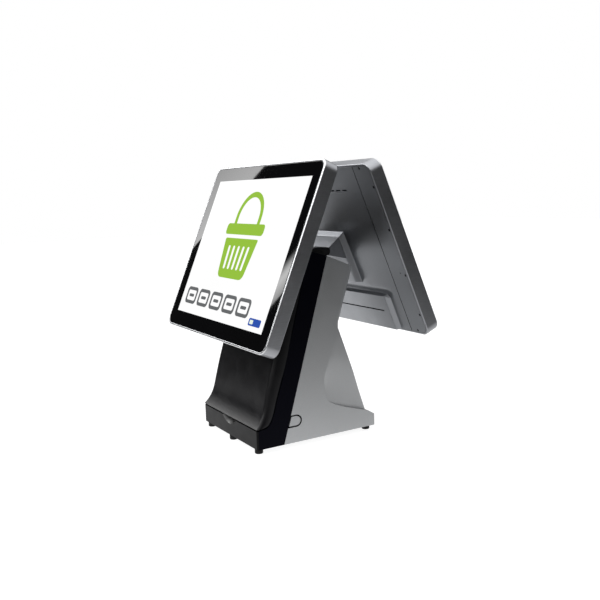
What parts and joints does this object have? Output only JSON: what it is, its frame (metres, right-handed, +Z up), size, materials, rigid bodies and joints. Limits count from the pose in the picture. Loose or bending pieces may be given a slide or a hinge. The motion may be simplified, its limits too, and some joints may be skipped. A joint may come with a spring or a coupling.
{
  "type": "point of sale touchscreen terminal",
  "caption": "Two-sided checkout terminal: two tilting touchscreen displays back to back on a leaning A-frame stand with a side power button and a service cover.",
  "frame": {"origin": "on the ground, centred between the two displays (bottom centre of the bounding box)", "axes": "+Z up, -Y toward the cashier, +Y toward the customer, +X to the cashier's right"},
  "size_m": [0.344, 0.3046, 0.4224],
  "materials": {
    "black_shell": "fine-grained moulded black plastic",
    "silver_shell": "satin metallic silver paint over moulded plastic",
    "frame_metal": "extruded aluminium, fine satin sides with a polished front edge",
    "rear_shell": "satin metallic grey paint",
    "cover_glass": "toughened glass with a black printed border",
    "lcd_glass": "liquid crystal cell",
    "acrylic": "clear light guide",
    "zinc_steel": "zinc plated sheet steel",
    "ground_steel": "ground steel",
    "dark_screw": "black oxide",
    "circuit_board": "green solder mask",
    "fin_metal": "black anodised",
    "tape": "foam adhesive tape",
    "rubber": "moulded rubber",
    "cable_jacket": "black cable jacket",
    "black_part": "moulded black plastic"
  },
  "bodies": {
    "stand": {"front_housing": "black_shell", "hinge_cap": "black_part", "rear_housing": "silver_shell", "base_plate": "zinc_steel", "rubber_feet": "rubber", "spine_bracket": "zinc_steel", "spine_screws": "dark_screw", "friction_washers": "ground_steel", "hinge_nuts": "ground_steel", "cover_pivot_pins": "ground_steel", "power_switch": "black_part", "mainboard": "circuit_board", "board_standoffs": "ground_steel", "heatsink": "fin_metal", "io_connectors": "zinc_steel", "io_panel": "zinc_steel", "speaker": "black_part", "display_cables": "cable_jacket", "main_hinge_pin": "ground_steel", "customer_hinge_pin": "ground_steel"},
    "main_display": {"main_frame": "frame_metal", "main_touch_glass": "cover_glass", "main_glass_tape": "tape", "main_lcd_panel": "lcd_glass", "main_light_guide": "acrylic", "main_backlight_tray": "zinc_steel", "main_mid_plate": "zinc_steel", "main_controller_board": "circuit_board", "main_rear_cover": "rear_shell", "main_rear_rails": "rear_shell", "main_rear_screws": "dark_screw", "main_arm_bracket": "zinc_steel", "main_arm_hood": "rear_shell", "main_arm_screws": "dark_screw"},
    "customer_display": {"customer_frame": "frame_metal", "customer_touch_glass": "cover_glass", "customer_glass_tape": "tape", "customer_lcd_panel": "lcd_glass", "customer_light_guide": "acrylic", "customer_backlight_tray": "zinc_steel", "customer_mid_plate": "zinc_steel", "customer_controller_board": "circuit_board", "customer_rear_cover": "rear_shell", "customer_rear_rails": "rear_shell", "customer_rear_screws": "dark_screw", "customer_arm_bracket": "zinc_steel", "customer_arm_hood": "rear_shell", "customer_arm_screws": "dark_screw"},
    "service_cover": {"front_cover": "black_shell"},
    "button": {"power_button": "silver_shell"}
  },
  "joints": [
    {"name": "main_tilt", "type": "hinge", "parent": "stand", "child": "main_display", "pos_m": [0, -0.03365, 0.285], "axis": [-1, 0, 0], "range_deg": [-8, 9]},
    {"name": "customer_tilt", "type": "hinge", "parent": "stand", "child": "customer_display", "pos_m": [0, 0.03365, 0.285], "axis": [1, 0, 0], "range_deg": [-23, 9]},
    {"name": "cover_swing", "type": "hinge", "parent": "stand", "child": "service_cover", "pos_m": [0, -0.0405, 0.2805], "axis": [-1, 0, 0], "range_deg": [0, 4]},
    {"name": "power_press", "type": "slide", "parent": "stand", "child": "button", "axis": [-1, 0, 0], "range_m": [0, 0.0015], "stiffness_N_per_m": 300}
  ]
}
